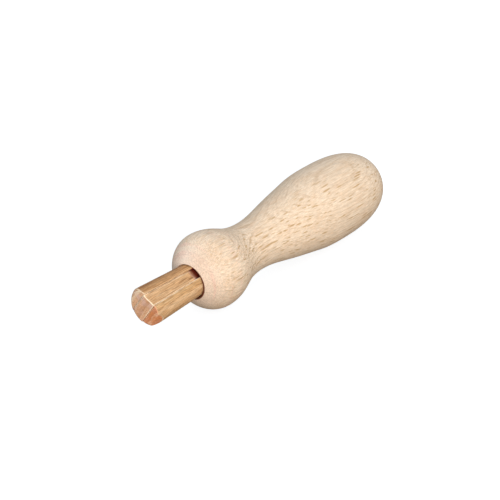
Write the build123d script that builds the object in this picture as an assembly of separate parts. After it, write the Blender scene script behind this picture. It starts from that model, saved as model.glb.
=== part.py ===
from build123d import *
import math
import os

# Wooden ring mandrel: a turned handle whose blind bore holds a split peg. The peg is two half-round
# jaws with a wedge between them. A finger ring goes over the jaws, and the wedge spreads them inside it.
#
# Millimetres. The origin is the centre of the bore's mouth, +X runs along the axis into the handle,
# and +Z is up with the tool lying on its side. The jaws and the wedge are drawn with the slot upright
# and the jaws closed, then opened and turned about X to where the slot stands.

# ---- Handle ------------------------------------------------------------------------------------
BORE_RADIUS = 7.75
BORE_DEPTH = 36.0
DRILL_POINT_DEPTH = 3.0
MOUTH_EDGE = 0.35

BALL_RADIUS = 17.25
BALL_AT = 12.3
WAIST_KNOTS = [(27.4, 12.9), (42.5, 11.5), (57.6, 14.25), (72.7, 17.0)]
GRIP_RADIUS = 18.3
GRIP_AT = 87.8
HANDLE_LENGTH = 121.5
END_FULLNESS = 2.75
END_POINTS = 9

# ---- Peg ---------------------------------------------------------------------------------------
ROD_RADIUS = 7.3
SLOT_HALF_WIDTH = 2.2
SLOT_TAPER = 0.93
SLOT_TURN = 33.4

UPPER_JAW_TIP = -28.2
LOWER_JAW_TIP = -27.8
JAW_TAIL = 31.0
SPREAD = 2.45
FULCRUM = 6.0
FULCRUM_LENGTH = 1.0
TAIL_GAP = 0.06
TAIL_CHAMFER = 0.8

# The peg leans on one side of the bore, the upper jaw's.
PEG_LEAN = 0.1

# The lower jaw has a flat bevel cut across the outer corner of its end.
BEVEL_START = 5.3
BEVEL_DEPTH = 3.6
BEVEL_OVERRUN = 2.0

WEDGE_TIP = -28.3
WEDGE_TIP_SKEW = 0.45
WEDGE_NOSE = 3.0
WEDGE_HALF_HEIGHT = 6.8
NOSE_SLOPE_LENGTH = 5.6
NOSE_DROP = 2.2
WEDGE_CLEARANCE = 0.03

# The peg's outer end is dressed round by hand, about centres off the axis. The rounding is heavier
# towards the underside of the lower jaw, so each piece has its own height for the centre.
END_ROUND_FROM = -23.6
END_ROUND_LENGTH = 4.95
END_CORE_RADIUS = 6.1
END_ROUND_RISE = 3.6
ROUND_CENTRE_ACROSS = -0.8
UPPER_JAW_ROUND_HEIGHT = 1.1
WEDGE_ROUND_HEIGHT = 1.5
LOWER_JAW_ROUND_HEIGHT = 2.0

# How far the cutting shapes run past the wood.
FAR = 60.0
NEAR = 1.0


def handle():
    """Turned handle: ball, waist, grip and rounded end about X, with the blind bore cut in."""
    ball_depth = BALL_AT / math.sqrt(1 - (BORE_RADIUS / BALL_RADIUS) ** 2)
    mouth_sweep = math.degrees(math.acos(BORE_RADIUS / BALL_RADIUS))
    front = EllipticalCenterArc(
        (BALL_AT, 0), ball_depth, BALL_RADIUS, start_angle=90, arc_size=mouth_sweep)
    waist = Spline(
        (BALL_AT, BALL_RADIUS), *WAIST_KNOTS, (GRIP_AT, GRIP_RADIUS),
        tangents=((1, 0), (1, 0)))
    back = Spline(*[end_point(step) for step in range(END_POINTS + 1)], tangents=((1, 0), (0, -1)))
    axis_line = Line((HANDLE_LENGTH, 0), (0, 0))
    face_line = Line((0, 0), (0, BORE_RADIUS))
    outline = make_face(Wire([front, waist, back, axis_line, face_line]))
    solid = revolve(outline, Axis.X, 360)
    return solid - bore()


def end_point(step):
    """One point of the handle's rounded end, a quarter of a squarish oval."""
    angle = math.pi / 2 * step / END_POINTS
    along = math.sin(angle) ** (2 / END_FULLNESS)
    across = math.cos(angle) ** (2 / END_FULLNESS) if step < END_POINTS else 0
    return (GRIP_AT + (HANDLE_LENGTH - GRIP_AT) * along, GRIP_RADIUS * across)


def bore():
    """Cutter for the blind bore, with a broken edge at its mouth and a drill point at its end."""
    outline = Polyline(
        (-NEAR, 0),
        (-NEAR, BORE_RADIUS + MOUTH_EDGE + NEAR),
        (MOUTH_EDGE, BORE_RADIUS),
        (BORE_DEPTH, BORE_RADIUS),
        (BORE_DEPTH + DRILL_POINT_DEPTH, 0),
        close=True)
    return revolve(make_face(outline), Axis.X, 360)


def plan_prism(points, half_height=FAR):
    """Upright prism over an outline in the XY plane, centred on the axis."""
    outline = make_face(Polyline(*points, close=True))
    return extrude(outline, half_height, both=True)


def end_form(centre_height):
    """Round-nosed envelope of the peg's end, wide enough to clear the peg behind the rounding."""
    nose = EllipticalCenterArc(
        (END_ROUND_FROM, END_CORE_RADIUS), END_ROUND_LENGTH, END_ROUND_RISE,
        start_angle=90, arc_size=90)
    nose_tip = END_ROUND_FROM - END_ROUND_LENGTH
    shoulder = END_CORE_RADIUS + END_ROUND_RISE
    rest = Polyline(
        (nose_tip, END_CORE_RADIUS), (nose_tip, 0), (FAR, 0), (FAR, shoulder), (END_ROUND_FROM, shoulder))
    form = revolve(make_face(Wire([nose, *rest.edges()])), Axis.X, 360)
    return Pos(0, ROUND_CENTRE_ACROSS, centre_height) * form


def jaw(side, tip):
    """One jaw, on the +Y (side 1) or -Y (side -1) half of the rod, opened about the fulcrum."""
    slot_root = FULCRUM - FULCRUM_LENGTH
    relief = (JAW_TAIL - FULCRUM) * math.tan(math.radians(SPREAD))
    rod = Pos((tip + JAW_TAIL) / 2, 0, 0) * Rot(0, 90, 0) * Cylinder(ROD_RADIUS, JAW_TAIL - tip)
    rod = chamfer(rod.edges().sort_by(Axis.X)[-1], TAIL_CHAMFER)
    outline = [
        (tip, slot_wall_at(tip)),
        (slot_root, slot_wall_at(slot_root)),
        (slot_root, TAIL_GAP),
        (FULCRUM, TAIL_GAP),
        (JAW_TAIL, TAIL_GAP + relief),
        (JAW_TAIL, ROD_RADIUS + NEAR),
        (tip, ROD_RADIUS + NEAR),
    ]
    body = rod & plan_prism([(x, side * y) for x, y in outline])
    if side < 0:
        body = body - side_bevel()
    opened = Pos(FULCRUM, 0, 0) * Rot(0, 0, -side * SPREAD) * Pos(-FULCRUM, 0, 0) * body
    centre_height = UPPER_JAW_ROUND_HEIGHT if side > 0 else LOWER_JAW_ROUND_HEIGHT
    return turned(opened & end_form(centre_height))


def side_bevel():
    """Cutter for the flat bevel on the outer corner of the lower jaw's end."""
    rise = BEVEL_OVERRUN * (ROD_RADIUS - BEVEL_START) / BEVEL_DEPTH
    return plan_prism([
        (LOWER_JAW_TIP - BEVEL_OVERRUN, -BEVEL_START + rise),
        (LOWER_JAW_TIP + BEVEL_DEPTH + BEVEL_OVERRUN, -ROD_RADIUS - rise),
        (LOWER_JAW_TIP - BEVEL_OVERRUN, -ROD_RADIUS - rise),
    ])


def wedge():
    """Tapered tongue between the jaws, thick at the tip, with a sloping nose in the mouth."""
    tip_half = slot_half_width_at(WEDGE_TIP) - WEDGE_CLEARANCE
    nose_half = slot_half_width_at(WEDGE_NOSE) - WEDGE_CLEARANCE
    plan = plan_prism([
        (WEDGE_TIP - WEDGE_TIP_SKEW, tip_half),
        (WEDGE_NOSE, nose_half),
        (WEDGE_NOSE, -nose_half),
        (WEDGE_TIP + WEDGE_TIP_SKEW, -tip_half),
    ])
    slope_start = WEDGE_NOSE - NOSE_SLOPE_LENGTH
    low = WEDGE_HALF_HEIGHT - NOSE_DROP
    profile = make_face(Polyline(
        (-FAR, WEDGE_HALF_HEIGHT),
        (slope_start, WEDGE_HALF_HEIGHT),
        (WEDGE_NOSE, low),
        (WEDGE_NOSE, -low),
        (slope_start, -WEDGE_HALF_HEIGHT),
        (-FAR, -WEDGE_HALF_HEIGHT),
        close=True))
    side_view = Rot(90, 0, 0) * extrude(profile, FAR, both=True)
    return turned(plan & side_view & end_form(WEDGE_ROUND_HEIGHT))


def slot_wall_at(x):
    """Distance of a closed jaw's slot wall from the middle; the slot narrows towards the tip."""
    return SLOT_HALF_WIDTH - (FULCRUM - x) * math.tan(math.radians(SLOT_TAPER))


def slot_half_width_at(x):
    """Half of the gap between the opened jaws at a place along the axis."""
    opening = math.radians(SPREAD - SLOT_TAPER)
    at_fulcrum = SLOT_HALF_WIDTH * math.cos(math.radians(SLOT_TAPER)) / math.cos(opening)
    return at_fulcrum + (FULCRUM - x) * math.tan(opening)


def turned(shape):
    """The shape moved against the side of the bore, and turned from an upright slot to where it stands."""
    return Rot(SLOT_TURN, 0, 0) * Pos(0, PEG_LEAN, 0) * shape


PARTS = {
    "handle": handle(),
    "upper_jaw": jaw(1, UPPER_JAW_TIP),
    "lower_jaw": jaw(-1, LOWER_JAW_TIP),
    "wedge": wedge(),
}

os.makedirs("parts", exist_ok=True)
for name, shape in PARTS.items():
    export_step(shape, f"parts/{name}.step")
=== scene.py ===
"""Looks of a wooden ring mandrel: a turned beech handle, and a split hardwood peg with a wedge in it.

Everything is in metres, in the row frame: the origin is the centre of the bore's mouth, +X runs along
the axis into the handle, and +Z is up with the tool lying on its side. Only the woods count in mm.
"""
import math
from collections import namedtuple

import bmesh
import bpy
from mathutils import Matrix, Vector
from mathutils.kdtree import KDTree


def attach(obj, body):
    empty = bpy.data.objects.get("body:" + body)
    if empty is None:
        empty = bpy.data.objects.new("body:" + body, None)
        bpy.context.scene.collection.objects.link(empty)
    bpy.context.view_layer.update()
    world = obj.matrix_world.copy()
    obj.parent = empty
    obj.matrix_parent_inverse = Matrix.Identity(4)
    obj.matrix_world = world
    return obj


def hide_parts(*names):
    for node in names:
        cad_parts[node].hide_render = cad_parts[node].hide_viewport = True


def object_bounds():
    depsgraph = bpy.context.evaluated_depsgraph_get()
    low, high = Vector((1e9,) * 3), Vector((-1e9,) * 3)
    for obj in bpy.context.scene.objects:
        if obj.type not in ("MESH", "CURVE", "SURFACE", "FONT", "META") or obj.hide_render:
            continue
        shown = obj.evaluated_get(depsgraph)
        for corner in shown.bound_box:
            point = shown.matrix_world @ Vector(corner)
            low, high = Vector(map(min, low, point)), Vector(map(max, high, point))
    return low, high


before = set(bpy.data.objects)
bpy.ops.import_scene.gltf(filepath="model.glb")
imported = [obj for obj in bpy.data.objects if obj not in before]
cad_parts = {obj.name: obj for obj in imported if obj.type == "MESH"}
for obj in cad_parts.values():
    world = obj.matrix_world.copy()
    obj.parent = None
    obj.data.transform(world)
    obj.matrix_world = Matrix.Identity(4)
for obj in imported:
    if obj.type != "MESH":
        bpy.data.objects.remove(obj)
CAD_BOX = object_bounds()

# ---- Camera ------------------------------------------------------------------------------------
AIM = Vector((0.03635, -0.00215, -0.00012))
CAMERA_DISTANCE = 0.8224
CAMERA_ELEVATION = math.radians(31.185)
CAMERA_AZIMUTH = math.radians(48.71)
CAMERA_LENS = 137.0
SENSOR_WIDTH = 36.0
CLIP_START = 0.01

# ---- Light -------------------------------------------------------------------------------------
SKY_ABOVE = (0.66, 0.74, 0.83, 1.0)
SKY_BELOW = (0.08, 0.07, 0.055, 1.0)
HORIZON_BLUR = 0.25
KEY_DIRECTION = Vector((-0.54, -0.77, 0.34))
KEY_DISTANCE = 3.0
KEY_SIZE = 1.6
KEY_POWER = 75.0
FLOOR_SIZE = 6.0
FLOOR_GREY = (0.35, 0.35, 0.35, 1.0)
FLOOR_GLOW = 0.8
FLOOR_ROUGHNESS = 0.9
WHITE = (1.0, 1.0, 1.0, 1.0)

# ---- Both woods (lengths in mm, colours as linear red, green and blue) -------------------------
PER_MM = 1000.0
AXIS = Vector((1.0, 0.0, 0.0))
NOISE_MIDDLE = (0.5, 0.5, 0.5)
STREAK_RANGE = (0.2, 0.8)
FIBRE_RANGE = (0.25, 0.75)
RING_ALONG_SHARE = 0.012
RING_UNEVENNESS = 1.6
WOOD_SPECULAR = 0.3

# Waves, cells and blotches are given as how many there are in a mm: along the axis, round the rings
# and outward across them. A wobble is how far the rings wander. Lengths along the axis count for only
# RING_ALONG_SHARE in a ring's radius. A pair of places is where a mask begins and where it is full.
RING_WAVES = (0.018, 0.07, 0.07)
RING_SPACING_WAVES = (0.0, 0.0, 0.22)

# ---- Beech of the handle -----------------------------------------------------------------------
BEECH_RING_TILT = math.radians(16.5)
BEECH_OUTWARD = Vector((0.0, -math.sin(BEECH_RING_TILT), math.cos(BEECH_RING_TILT)))
BEECH_PITH_DISTANCE = 75.0
BEECH_RING_WIDTH = 1.25
BEECH_WOBBLE = 3.2
BEECH_RELIEF = 0.06
FLECK_CELLS = (0.115, 0.90, 0.90)
BORE_RADIUS = 7.75
BORE_END = 39.0
# Painted shade: the bore, and the gap round the peg at the mouth, are darkened in the colour.
BORE_SHADE_SHIFT = 0.5
BORE_SHADE_EDGE = (BORE_RADIUS + 0.55, BORE_RADIUS + 0.15)
BORE_SHADE_FADE = (BORE_END + 10.0, BORE_END)

BEHIND_MOUTH = (4.0, 18.0)
FRONT_OF_BALL = (6.0, 24.0)
TOOL_LINE_FADE = (25.0, 12.0)
BALL_FADE = (48.0, 26.0)
LIT_TO_SHADED_SIDE = (-7.0, 2.0)
FLECKED_SIDE = (-4.0, 6.0)
BEECH_END_GRAIN_FROM = (0.45, 0.95)
BEECH_ROUGHNESS = (0.50, 0.64)
TURNING_SHADES = (0.98, 1.015)

RAY_STRENGTH = 0.45
END_GRAIN_STRENGTH = 0.5
FLECK_STRENGTH = 0.85

BEECH_DEEP = (0.80, 0.585, 0.40)
BEECH_PALE = (0.89, 0.68, 0.485)
BEECH_CLOUD = (0.80, 0.54, 0.345)
BEECH_STREAK = (0.72, 0.485, 0.29)
BEECH_RAY = (0.97, 0.80, 0.62)
BEECH_END_GRAIN = (0.93, 0.72, 0.57)
RING_LINE_AT_MOUTH = (0.76, 0.45, 0.33)
RING_LINE = (0.57, 0.35, 0.19)
TOOL_LINE = (0.84, 0.52, 0.38)
BEECH_FLECK = (0.52, 0.30, 0.125)
BEECH_PORE = (0.56, 0.35, 0.18)
# Painted light and painted shade for the two sides of the ball's front.
PAINTED_LIGHT_TINT = (1.14, 1.18, 1.24)
PAINTED_SHADE_TINT = (0.90, 0.86, 0.835)
NO_TINT = (1.0, 1.0, 1.0)
BORE_SHADE_COLOUR = (0.13, 0.03, 0.01)

# ---- Hardwood of the peg -----------------------------------------------------------------------
SLOT_TURN = math.radians(33.4)
ACROSS_SLOT = Vector((0.0, math.cos(SLOT_TURN), math.sin(SLOT_TURN)))
SLOT_MIDDLE = 0.1
SLOT_HALF_WIDTH = 2.36
# Painted shade in the slot at the mouth, where the wedge's nose runs in under the rim.
SLOT_SHADE_EDGE = (SLOT_HALF_WIDTH + 0.3, SLOT_HALF_WIDTH + 0.05)
SLOT_SHADE_FADE = (-3.6, 0.9)
HARDWOOD_RING_WIDTH = 3.1
HARDWOOD_WOBBLE = 0.8
HARDWOOD_RELIEF = 0.08
FIGURE_WAVES = (0.12, 0.30, 0.30)
END_BLOTCHES = (0.2, 0.22, 0.22)

OUTER_SIDE = (5.0, 7.6)
OUTER_SIDE_WANDER = 3.0
MOUTH_FADE = (-3.5, -6.5)
END_FADE = (-26.0, -23.5)
UNDERSIDE_FADE = (-5.5, -1.5)
HARDWOOD_END_GRAIN_FROM = (0.16, 0.42)
HARDWOOD_ROUGHNESS = (0.45, 0.62)
FIBRE_SHADES = (0.76, 1.20)

LIGHT_LINE_STRENGTH = 0.4
PORE_STRENGTH = 0.65
END_PORE_STRENGTH = 0.35

HARDWOOD_DEEP = (0.72, 0.43, 0.20)
HARDWOOD_PALE = (0.84, 0.54, 0.29)
DARK_STREAK = (0.46, 0.22, 0.075)
LIGHT_STREAK = (0.97, 0.72, 0.45)
LIGHT_LINE = (0.95, 0.70, 0.44)
HARDWOOD_PORE = (0.30, 0.13, 0.035)
END_PALE = (0.86, 0.52, 0.33)
END_DEEP = (0.66, 0.36, 0.18)
END_BLOTCH = (0.80, 0.55, 0.46)
END_PORES = (0.55, 0.26, 0.13)
END_LIGHT_LINE = (1.0, 0.70, 0.45)
WORN_AND_HIGHLIT_WOOD = (1.0, 0.78, 0.53)
SLOT_SHADE_COLOUR = (0.20, 0.022, 0.008)

# How one piece of the peg differs from the others: its slot's name, where in the noise its wood is
# taken from, how far the slot is from the middle of the tree, the tints that multiply the colour near
# the slot, on the outer side and on the end, and how far the figure wanders; on the upper jaw the
# outer tint is partly painted shade. Then come the strengths of the light ring lines on the end, of the
# paler arrises along the sides and at the end, which are partly rubbed wear and partly a painted
# highlight, and what the side strength is multiplied by at the mouth.
Look = namedtuple("Look", (
    "slot", "seed_shift", "pith_distance", "tint", "outer_tint", "end_tint", "figure",
    "end_line", "side_wear", "end_wear", "mouth_wear"))

PEG_LOOKS = {
    # The upper jaw's outer tint is partly the wood's own tone and partly painted shade on its side turned
    # from the light.
    "upper_jaw": Look(
        slot="jaw_hardwood", seed_shift=(40.0, 7.0, 3.0), pith_distance=60.0,
        tint=(0.84, 0.72, 0.60), outer_tint=(0.66, 0.47, 0.29), end_tint=(1.08, 1.03, 0.98),
        figure=0.8, end_line=0.7, side_wear=0.2, end_wear=0.6, mouth_wear=1.0),
    "lower_jaw": Look(
        slot="jaw_hardwood", seed_shift=(90.0, 31.0, 17.0), pith_distance=62.0,
        tint=(0.75, 0.66, 0.54), outer_tint=(0.90, 0.82, 0.75), end_tint=(0.98, 0.60, 0.38),
        figure=3.0, end_line=0.3, side_wear=0.8, end_wear=0.1, mouth_wear=1.3),
    "wedge": Look(
        slot="wedge_hardwood", seed_shift=(15.0, 52.0, 41.0), pith_distance=60.0,
        tint=(0.84, 0.76, 0.70), outer_tint=(0.84, 0.76, 0.70), end_tint=(1.04, 0.95, 0.88),
        figure=0.3, end_line=0.2, side_wear=0.5, end_wear=1.0, mouth_wear=0.0),
}

# ---- Softened pieces (metres) ------------------------------------------------------------------
WELD_DISTANCE = 1e-6
VOXEL_SIZE = 0.00025
RUBBING_STRENGTH = 0.5
RUBBING_PASSES = 3
ARRIS_ANGLE = math.radians(20.0)
ARRIS_STEP = 0.0002
ARRIS_NEARNESS_WIDTH = 0.0007


# ---- Shader graph helpers ----------------------------------------------------------------------
class Graph:
    """A material's node tree, with one short method for each kind of node that the woods use."""

    def __init__(self, name):
        self.material = bpy.data.materials.new(name)
        self.material.use_nodes = True
        self.tree = self.material.node_tree
        self.shader = self.tree.nodes["Principled BSDF"]

    def feed(self, socket, source):
        """Links a socket to another node's output, or sets it to a plain value."""
        if isinstance(source, bpy.types.NodeSocket):
            self.tree.links.new(source, socket)
        elif source is not None:
            socket.default_value = source

    def math(self, operation, first, second=None, third=None):
        node = self.tree.nodes.new("ShaderNodeMath")
        node.operation = operation
        for socket, source in zip(node.inputs, (first, second, third)):
            self.feed(socket, source)
        return node.outputs[0]

    def vector(self, operation, first, second=None, scale=None):
        node = self.tree.nodes.new("ShaderNodeVectorMath")
        node.operation = operation
        self.feed(node.inputs[0], first)
        self.feed(node.inputs[1], second)
        if operation == "SCALE":
            self.feed(node.inputs["Scale"], scale)
        return node.outputs["Value" if operation in ("LENGTH", "DOT_PRODUCT") else "Vector"]

    def coordinates(self, output):
        return self.tree.nodes.new("ShaderNodeTexCoord").outputs[output]

    def split(self, vector):
        """The three components of a vector."""
        node = self.tree.nodes.new("ShaderNodeSeparateXYZ")
        self.feed(node.inputs[0], vector)
        return node.outputs[:]

    def attribute(self, name):
        node = self.tree.nodes.new("ShaderNodeAttribute")
        node.attribute_name = name
        return node.outputs["Fac"]

    def noise(self, vector, detail=2.0, roughness=0.5, output="Fac"):
        node = self.tree.nodes.new("ShaderNodeTexNoise")
        self.feed(node.inputs["Vector"], vector)
        node.inputs["Scale"].default_value = 1.0
        node.inputs["Detail"].default_value = detail
        node.inputs["Roughness"].default_value = roughness
        return node.outputs[output]

    def cells(self, vector):
        """Distance to the middle of the nearest of many scattered cells."""
        node = self.tree.nodes.new("ShaderNodeTexVoronoi")
        self.feed(node.inputs["Vector"], vector)
        node.inputs["Scale"].default_value = 1.0
        return node.outputs["Distance"]

    def spread(self, value, low, high, to_low=0.0, to_high=1.0):
        """Value moved smoothly from the range low..high to the range to_low..to_high, and clamped."""
        node = self.tree.nodes.new("ShaderNodeMapRange")
        node.interpolation_type = "SMOOTHSTEP"
        for name, source in (("Value", value), ("From Min", low), ("From Max", high),
                             ("To Min", to_low), ("To Max", to_high)):
            self.feed(node.inputs[name], source)
        return node.outputs["Result"]

    def between(self, mask, off, on):
        """A value that is one number where the mask is 0 and another where it is 1."""
        return self.spread(mask, 0.0, 1.0, off, on)

    def mix(self, factor, first, second, blend="MIX"):
        node = self.tree.nodes.new("ShaderNodeMix")
        node.data_type = "RGBA"
        node.blend_type = blend
        self.feed(node.inputs["Factor"], factor)
        for socket, source in zip(colour_sockets(node.inputs), (first, second)):
            self.feed(socket, (*source, 1.0) if isinstance(source, tuple) else source)
        return colour_sockets(node.outputs)[0]

    def product(self, value, *factors):
        """Masks multiplied together."""
        for factor in factors:
            value = self.math("MULTIPLY", value, factor)
        return value

    def tinted(self, colour, tint):
        return self.mix(1.0, colour, tint, blend="MULTIPLY")

    def shade(self, colour, amount):
        """Colour made lighter or darker by a factor."""
        return self.vector("SCALE", colour, scale=amount)

    def finish(self, colour, roughness, height, relief):
        self.feed(self.shader.inputs["Base Color"], colour)
        self.feed(self.shader.inputs["Roughness"], roughness)
        self.shader.inputs["Specular IOR Level"].default_value = WOOD_SPECULAR
        bump = self.tree.nodes.new("ShaderNodeBump")
        bump.inputs["Distance"].default_value = relief / PER_MM
        self.feed(bump.inputs["Height"], height)
        self.feed(self.shader.inputs["Normal"], bump.outputs["Normal"])
        return self.material


def colour_sockets(sockets):
    """The colour sockets among a mix node's many, most of which it hides."""
    return [socket for socket in sockets if socket.type == "RGBA"]


def wood_space(graph, outward):
    """The point in mm, measured along the axis, round the rings and outward across the rings."""
    point = graph.vector("SCALE", graph.coordinates("Object"), scale=PER_MM)
    axes = (AXIS, AXIS.cross(outward), outward)
    combine = graph.tree.nodes.new("ShaderNodeCombineXYZ")
    for socket, axis in zip(combine.inputs, axes):
        graph.feed(socket, graph.vector("DOT_PRODUCT", point, tuple(axis)))
    return combine.outputs[0]


def wander(graph, space, frequency, distance, detail=2.0):
    """A slowly changing shift of up to half this distance each way, in all three directions."""
    slow = graph.noise(graph.vector("MULTIPLY", space, frequency), detail=detail, output="Color")
    return graph.vector("SCALE", graph.vector("SUBTRACT", slow, NOISE_MIDDLE), scale=distance)


def ring_phase(graph, space, pith_distance, ring_width, wobble):
    """How far through its growth ring each point is, from 0 to 1, in slightly wavy rings."""
    wavy = graph.vector("ADD", space, wander(graph, space, RING_WAVES, wobble))
    flat = graph.vector("MULTIPLY", wavy, (RING_ALONG_SHARE, 1.0, 1.0))
    radius = graph.vector("LENGTH", graph.vector("ADD", flat, (0.0, 0.0, pith_distance)))
    uneven = graph.noise(graph.vector("MULTIPLY", flat, RING_SPACING_WAVES), detail=1.0)
    unevenness = graph.math("MULTIPLY", uneven, RING_UNEVENNESS)
    return graph.math("FRACT", graph.math("MULTIPLY_ADD", radius, 1.0 / ring_width, unevenness))


def ring_band(graph, phase, rise, fall):
    """Mask of one part of every growth ring, between a rise and a fall."""
    return graph.product(graph.spread(phase, *rise), graph.spread(phase, *fall))


def facing_along_axis(graph):
    """How far the surface faces along the axis: 0 on the sides and 1 on a square end."""
    along = graph.vector("DOT_PRODUCT", graph.coordinates("Normal"), tuple(AXIS))
    return graph.math("ABSOLUTE", along)


def grain(graph, space, along, across, detail=2.0, roughness=0.6):
    """Noise stretched along the grain, with this many features in a mm along it and across it."""
    return graph.noise(graph.vector("MULTIPLY", space, (along, across, across)), detail, roughness)


# ---- Woods -------------------------------------------------------------------------------------
def beech():
    """Pale steamed beech: growth rings, rows of short tan flecks, fine pores, pale rays, turning marks."""
    graph = Graph("beech")
    space = wood_space(graph, BEECH_OUTWARD)
    along, around, _ = graph.split(space)
    behind_mouth = graph.spread(along, *BEHIND_MOUTH, to_low=0.25)
    on_ball = graph.spread(along, *BALL_FADE)
    phase = ring_phase(graph, space, BEECH_PITH_DISTANCE, BEECH_RING_WIDTH, BEECH_WOBBLE)
    line = beech_ring_line(graph, space, phase, along, on_ball)
    fleck = graph.product(beech_fleck(graph, space, phase, around), behind_mouth)
    tool_line = beech_tool_line(graph, space, along)

    broad = grain(graph, space, 0.02, 0.09)
    cloud = grain(graph, space, 0.10, 0.30)
    streak = grain(graph, space, 0.04, 1.2, detail=3.0, roughness=0.65)
    fibre = grain(graph, space, 0.26, 2.6, roughness=0.7)
    pore = graph.spread(grain(graph, space, 0.45, 3.4, detail=1.0), 0.57, 0.68)
    pore = graph.product(pore, behind_mouth)
    ray = graph.spread(grain(graph, space, 0.22, 2.4, detail=1.0), 0.56, 0.70)
    turning = grain(graph, space, 2.2, 0.03, detail=3.0, roughness=0.7)
    end_grain = graph.spread(facing_along_axis(graph), *BEECH_END_GRAIN_FROM)

    # The body of the wood.
    colour = graph.mix(broad, BEECH_DEEP, BEECH_PALE)
    colour = graph.mix(graph.spread(cloud, 0.45, 0.72, to_high=0.45), colour, BEECH_CLOUD)
    colour = graph.mix(graph.spread(streak, 0.42, 0.66, to_high=0.6), colour, BEECH_STREAK)
    colour = graph.mix(graph.product(ray, RAY_STRENGTH), colour, BEECH_RAY)
    colour = graph.mix(graph.product(end_grain, END_GRAIN_STRENGTH), colour, BEECH_END_GRAIN)

    # Its marks.
    colour = graph.mix(line, colour, graph.mix(behind_mouth, RING_LINE_AT_MOUTH, RING_LINE))
    colour = graph.mix(tool_line, colour, TOOL_LINE)
    colour = graph.mix(graph.product(fleck, FLECK_STRENGTH), colour, BEECH_FLECK)
    pore_strength = graph.between(on_ball, 0.22, 0.38)
    colour = graph.mix(graph.product(pore, pore_strength), colour, BEECH_PORE)

    # Fine contrast, which is stronger on the ball, where the surface cuts across the fibres.
    contrast = graph.between(on_ball, 0.23, 0.38)
    light_and_dark = graph.spread(fibre, *FIBRE_RANGE, -0.5, 0.5)
    colour = graph.shade(colour, graph.math("MULTIPLY_ADD", light_and_dark, contrast, 0.99))
    colour = graph.shade(colour, graph.spread(turning, 0.3, 0.7, *TURNING_SHADES))

    # The front of the ball gets painted light, paler and cooler, on one side, and painted shade, darker and
    # warmer, on the other.
    front_light_and_shade = graph.mix(graph.spread(around, *LIT_TO_SHADED_SIDE), PAINTED_LIGHT_TINT, PAINTED_SHADE_TINT)
    colour = graph.tinted(colour, graph.mix(behind_mouth, front_light_and_shade, NO_TINT))
    # Painted shade in the bore and in the gap round the peg at the mouth.
    colour = graph.mix(painted_bore_shade(graph, space), colour, BORE_SHADE_COLOUR)

    # In relief, the fibres and turning lines stand up, and the pores and flecks are sunk.
    roughness = graph.spread(streak, *STREAK_RANGE, *BEECH_ROUGHNESS)
    height = graph.math("MULTIPLY_ADD", fibre, 0.6, graph.product(turning, 0.4))
    height = graph.math("SUBTRACT", height, graph.product(pore, 0.5))
    height = graph.math("SUBTRACT", height, graph.product(fleck, 0.3))
    return graph.finish(colour, roughness, height, BEECH_RELIEF)


def beech_ring_line(graph, space, phase, along, on_ball):
    """Mask of the thin line at the end of each growth ring, broken up, and strongest on the ball's back."""
    thin = ring_band(graph, phase, (0.66, 0.89), (1.0, 0.93))
    patchy = graph.spread(grain(graph, space, 0.13, 0.35), 0.40, 0.60, to_low=0.1)
    behind_front = graph.spread(along, *FRONT_OF_BALL, to_low=0.25)
    return graph.product(thin, patchy, behind_front, graph.between(on_ball, 0.40, 0.75))


def beech_fleck(graph, space, phase, around):
    """Mask of the short flecks, which sit in the late part of the rings, most of them on one side."""
    from_middle = graph.cells(graph.vector("MULTIPLY", space, FLECK_CELLS))
    shape = graph.spread(from_middle, 0.46, 0.22)
    late = ring_band(graph, phase, (0.2, 0.5), (1.0, 0.9))
    patchy = graph.spread(grain(graph, space, 0.09, 0.30, detail=1.0), 0.38, 0.50)
    return graph.product(shape, late, patchy, graph.spread(around, *FLECKED_SIDE, to_low=0.3))


def beech_tool_line(graph, space, along):
    """Mask of the faint lines that the turning tool left round the front of the ball."""
    thin = graph.spread(grain(graph, space, 0.60, 0.02, detail=1.0), 0.54, 0.64)
    patchy = graph.spread(grain(graph, space, 0.1, 0.12, detail=1.0), 0.35, 0.60, 0.15, 0.55)
    return graph.product(thin, graph.spread(along, *TOOL_LINE_FADE), patchy)


def painted_bore_shade(graph, space):
    """Mask of painted shade in the bore, which shows as a dark crescent on the side of its mouth that
    stands off the peg.
    """
    along, _, _ = graph.split(space)
    from_middle = graph.vector("SUBTRACT", space, (0.0, BORE_SHADE_SHIFT, 0.0))
    off_axis = graph.vector("LENGTH", graph.vector("MULTIPLY", from_middle, (0.0, 1.0, 1.0)))
    in_bore = graph.spread(off_axis, *BORE_SHADE_EDGE)
    return graph.product(in_bore, graph.spread(along, *BORE_SHADE_FADE))


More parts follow.
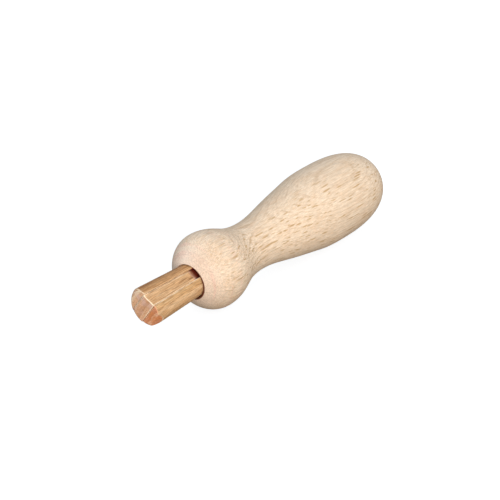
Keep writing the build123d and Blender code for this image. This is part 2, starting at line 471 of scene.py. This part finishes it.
def hardwood(name, look):
    """Brown ring-porous hardwood: pale and dark streaks, pore bands that follow the rings, pink ends.

    The rings run along the slot, so they show as straight lines on the wedge and on every end, and as a
    wavy figure on the outer side of a jaw. Near the arrises the wood is paler, partly as rubbed wear and
    partly as a painted highlight.
    """
    graph = Graph(name)
    space = wood_space(graph, ACROSS_SLOT)
    seeded = graph.vector("ADD", space, look.seed_shift)
    bent = graph.vector("ADD", space, wander(graph, seeded, FIGURE_WAVES, look.figure, detail=1.0))
    phase = ring_phase(graph, bent, look.pith_distance, HARDWOOD_RING_WIDTH, HARDWOOD_WOBBLE)
    light_line = ring_band(graph, phase, (0.76, 0.86), (1.0, 0.92))
    pore_band = ring_band(graph, phase, (0.0, 0.05), (0.42, 0.12))

    broad = grain(graph, seeded, 0.04, 0.25)
    streak = grain(graph, seeded, 0.05, 1.5, detail=3.0, roughness=0.75)
    fibre = grain(graph, seeded, 0.24, 2.8, roughness=0.7)
    pore = graph.spread(grain(graph, seeded, 0.24, 2.6, detail=1.0), 0.50, 0.64)
    pore = graph.product(pore, graph.between(pore_band, 0.4, 1.0))

    colour = graph.mix(broad, HARDWOOD_DEEP, HARDWOOD_PALE)
    colour = graph.mix(graph.spread(streak, 0.50, 0.66, to_high=0.8), colour, DARK_STREAK)
    colour = graph.mix(graph.spread(streak, 0.44, 0.30, to_high=0.7), colour, LIGHT_STREAK)
    colour = graph.mix(graph.product(light_line, LIGHT_LINE_STRENGTH), colour, LIGHT_LINE)
    colour = graph.mix(graph.product(pore, PORE_STRENGTH), colour, HARDWOOD_PORE)

    _, _, outward = graph.split(space)
    from_slot = graph.math("ADD", graph.math("ABSOLUTE", outward), graph.product(broad, OUTER_SIDE_WANDER))
    # The outer side's tint, which on the upper jaw is partly painted shade.
    side_tint_and_shade = graph.mix(graph.spread(from_slot, *OUTER_SIDE), look.tint, look.outer_tint)
    colour = graph.tinted(colour, side_tint_and_shade)
    end_colour = hardwood_end(graph, seeded, streak, pore_band, light_line, look)
    on_end = graph.spread(facing_along_axis(graph), *HARDWOOD_END_GRAIN_FROM)
    colour = graph.mix(on_end, colour, end_colour)
    # Paler near the arrises: partly rubbed wear, partly a painted highlight where the arrises catch the
    # light.
    colour = graph.mix(wear_and_highlight(graph, space, seeded, look), colour, WORN_AND_HIGHLIT_WOOD)
    colour = graph.shade(colour, graph.spread(fibre, *FIBRE_RANGE, *FIBRE_SHADES))
    # Painted shade in the slot at the mouth.
    colour = graph.mix(painted_slot_shade(graph, space), colour, SLOT_SHADE_COLOUR)

    roughness = graph.spread(streak, *STREAK_RANGE, *HARDWOOD_ROUGHNESS)
    height = graph.math("SUBTRACT", fibre, graph.product(pore, 0.8))
    return graph.finish(colour, roughness, height, HARDWOOD_RELIEF)


def hardwood_end(graph, seeded, streak, pore_band, light_line, look):
    """Colour of the sawn end: blotchy pink, with the pore bands and the light ring lines across it."""
    blotch = graph.noise(graph.vector("MULTIPLY", seeded, END_BLOTCHES), detail=1.0)
    colour = graph.mix(graph.spread(streak, 0.35, 0.65), END_PALE, END_DEEP)
    colour = graph.mix(graph.spread(blotch, 0.42, 0.62, to_high=0.65), colour, END_BLOTCH)
    colour = graph.mix(graph.product(pore_band, END_PORE_STRENGTH), colour, END_PORES)
    colour = graph.tinted(colour, look.end_tint)
    return graph.mix(graph.product(light_line, look.end_line), colour, END_LIGHT_LINE)


def wear_and_highlight(graph, space, seeded, look):
    """Mask of the paler arrises, partly rubbed wear and partly a painted highlight, patchy along their
    length and fading towards the underside.
    """
    along, around, _ = graph.split(space)
    near_arris = graph.spread(graph.attribute("wear"), 0.15, 0.85)
    patchy = graph.spread(grain(graph, seeded, 0.3, 0.6), 0.30, 0.55, to_low=0.35)
    on_top = graph.spread(around, *UNDERSIDE_FADE)
    at_mouth = graph.spread(along, *MOUTH_FADE, to_low=look.mouth_wear)
    along_sides = graph.spread(along, *END_FADE, look.end_wear, look.side_wear)
    return graph.product(near_arris, patchy, on_top, at_mouth, along_sides)


def painted_slot_shade(graph, space):
    """Mask of painted shade in the slot at the mouth, which fades out along the wedge's nose."""
    along, _, across_slot = graph.split(space)
    from_middle = graph.math("ABSOLUTE", graph.math("SUBTRACT", across_slot, SLOT_MIDDLE))
    in_slot = graph.spread(from_middle, *SLOT_SHADE_EDGE)
    return graph.product(graph.spread(along, *SLOT_SHADE_FADE), in_slot)


# ---- Pieces ------------------------------------------------------------------------------------
def softened(node, wood):
    """Stands in for a CAD piece: the same solid with its arrises rubbed round, and marked with how near
    each point is to an arris.
    """
    shape = bmesh.new()
    shape.from_mesh(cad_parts[node].data)
    bmesh.ops.remove_doubles(shape, verts=shape.verts, dist=WELD_DISTANCE)
    arrises = arris_points(shape)
    solid = bpy.data.meshes.new(f"{node}_solid")
    shape.to_mesh(solid)
    shape.free()

    piece = add_object(f"{node}_wood", solid)
    remesh = piece.modifiers.new("even_mesh", "REMESH")
    remesh.mode = "VOXEL"
    remesh.voxel_size = VOXEL_SIZE
    remesh.use_smooth_shade = True
    smooth = piece.modifiers.new("rubbed", "SMOOTH")
    smooth.factor = RUBBING_STRENGTH
    smooth.iterations = RUBBING_PASSES
    mesh = bpy.data.meshes.new_from_object(piece.evaluated_get(bpy.context.evaluated_depsgraph_get()))
    piece.modifiers.clear()
    piece.data = mesh
    mesh.name = f"{node}_wood"
    bpy.data.meshes.remove(solid)
    mark_arris_nearness(mesh, arrises)
    mesh.materials.clear()
    mesh.materials.append(wood)
    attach(piece, node)
    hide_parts(node)


def arris_points(shape):
    """Points spaced closely along the sharp edges of a solid, ready to be searched by distance."""
    points = []
    for edge in shape.edges:
        if edge.calc_face_angle(0.0) > ARRIS_ANGLE:
            start, end = (vertex.co for vertex in edge.verts)
            steps = max(1, math.ceil(edge.calc_length() / ARRIS_STEP))
            points += [start.lerp(end, step / steps) for step in range(steps + 1)]
    tree = KDTree(len(points))
    for index, point in enumerate(points):
        tree.insert(point, index)
    tree.balance()
    return tree


def mark_arris_nearness(mesh, arrises):
    """Writes the attribute that the wood's material reads as wear and painted highlight: 1 on an arris,
    down to 0 beside it.
    """
    wear = mesh.attributes.new("wear", "FLOAT", "POINT")
    for vertex, value in zip(mesh.vertices, wear.data):
        distance = arrises.find(vertex.co)[2]
        value.value = max(0.0, 1.0 - distance / ARRIS_NEARNESS_WIDTH)


# ---- Studio ------------------------------------------------------------------------------------
def add_object(name, data):
    made = bpy.data.objects.new(name, data)
    bpy.context.scene.collection.objects.link(made)
    return made


def add_camera():
    """Camera that looks down on the tool from beyond the peg's end, well to the right of the axis."""
    look = Vector((
        math.sin(CAMERA_AZIMUTH) * math.cos(CAMERA_ELEVATION),
        math.cos(CAMERA_AZIMUTH) * math.cos(CAMERA_ELEVATION),
        -math.sin(CAMERA_ELEVATION)))
    camera = add_object("camera", bpy.data.cameras.new("camera"))
    camera.data.lens = CAMERA_LENS
    camera.data.sensor_width = SENSOR_WIDTH
    camera.data.clip_start = CLIP_START
    camera.location = AIM - look * CAMERA_DISTANCE
    camera.rotation_mode = "QUATERNION"
    camera.rotation_quaternion = look.to_track_quat("-Z", "Y")
    bpy.context.scene.camera = camera


def add_world():
    """Cool, even light from above the horizon, and almost none from below it."""
    world = bpy.data.worlds.new("studio")
    world.use_nodes = True
    nodes, links = world.node_tree.nodes, world.node_tree.links
    direction = nodes.new("ShaderNodeTexCoord").outputs["Generated"]
    split = nodes.new("ShaderNodeSeparateXYZ")
    links.new(direction, split.inputs[0])
    ramp = nodes.new("ShaderNodeMapRange")
    ramp.inputs["From Min"].default_value = -HORIZON_BLUR
    ramp.inputs["From Max"].default_value = HORIZON_BLUR
    links.new(split.outputs["Z"], ramp.inputs["Value"])
    mix = nodes.new("ShaderNodeMix")
    mix.data_type = "RGBA"
    for socket, sky in zip(colour_sockets(mix.inputs), (SKY_BELOW, SKY_ABOVE)):
        socket.default_value = sky
    links.new(ramp.outputs["Result"], mix.inputs["Factor"])
    links.new(colour_sockets(mix.outputs)[0], nodes["Background"].inputs["Color"])
    bpy.context.scene.world = world


def add_key_light():
    """One big soft light from behind the camera and to its right, at a lower angle than the camera's."""
    data = bpy.data.lights.new("key", "AREA")
    data.shape = "DISK"
    data.size = KEY_SIZE
    data.energy = KEY_POWER
    light = add_object("key", data)
    light.location = AIM + KEY_DIRECTION.normalized() * KEY_DISTANCE
    light.rotation_mode = "QUATERNION"
    light.rotation_quaternion = KEY_DIRECTION.to_track_quat("Z", "Y")


def add_floor():
    """Table top under the tool, grey with a glow that makes it white. It throws no light on the wood."""
    lowest = CAD_BOX[0].z
    mesh = bpy.data.meshes.new("floor")
    corners = [(x * FLOOR_SIZE, y * FLOOR_SIZE, lowest) for x, y in ((-1, -1), (1, -1), (1, 1), (-1, 1))]
    mesh.from_pydata(corners, [], [(0, 1, 2, 3)])
    floor = add_object("floor", mesh)
    floor.visible_diffuse = False
    floor.visible_glossy = False
    material = bpy.data.materials.new("floor_white")
    material.use_nodes = True
    shader = material.node_tree.nodes["Principled BSDF"]
    shader.inputs["Base Color"].default_value = FLOOR_GREY
    shader.inputs["Roughness"].default_value = FLOOR_ROUGHNESS
    shader.inputs["Specular IOR Level"].default_value = 0.0
    shader.inputs["Emission Color"].default_value = WHITE
    shader.inputs["Emission Strength"].default_value = FLOOR_GLOW
    mesh.materials.append(material)


add_camera()
add_world()
add_key_light()
add_floor()
bpy.context.scene.view_settings.view_transform = "Standard"

handle_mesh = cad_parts["handle"].data
handle_mesh.materials.clear()
handle_mesh.materials.append(beech())

for node, look in PEG_LOOKS.items():
    softened(node, hardwood(f"{node}_hardwood", look))
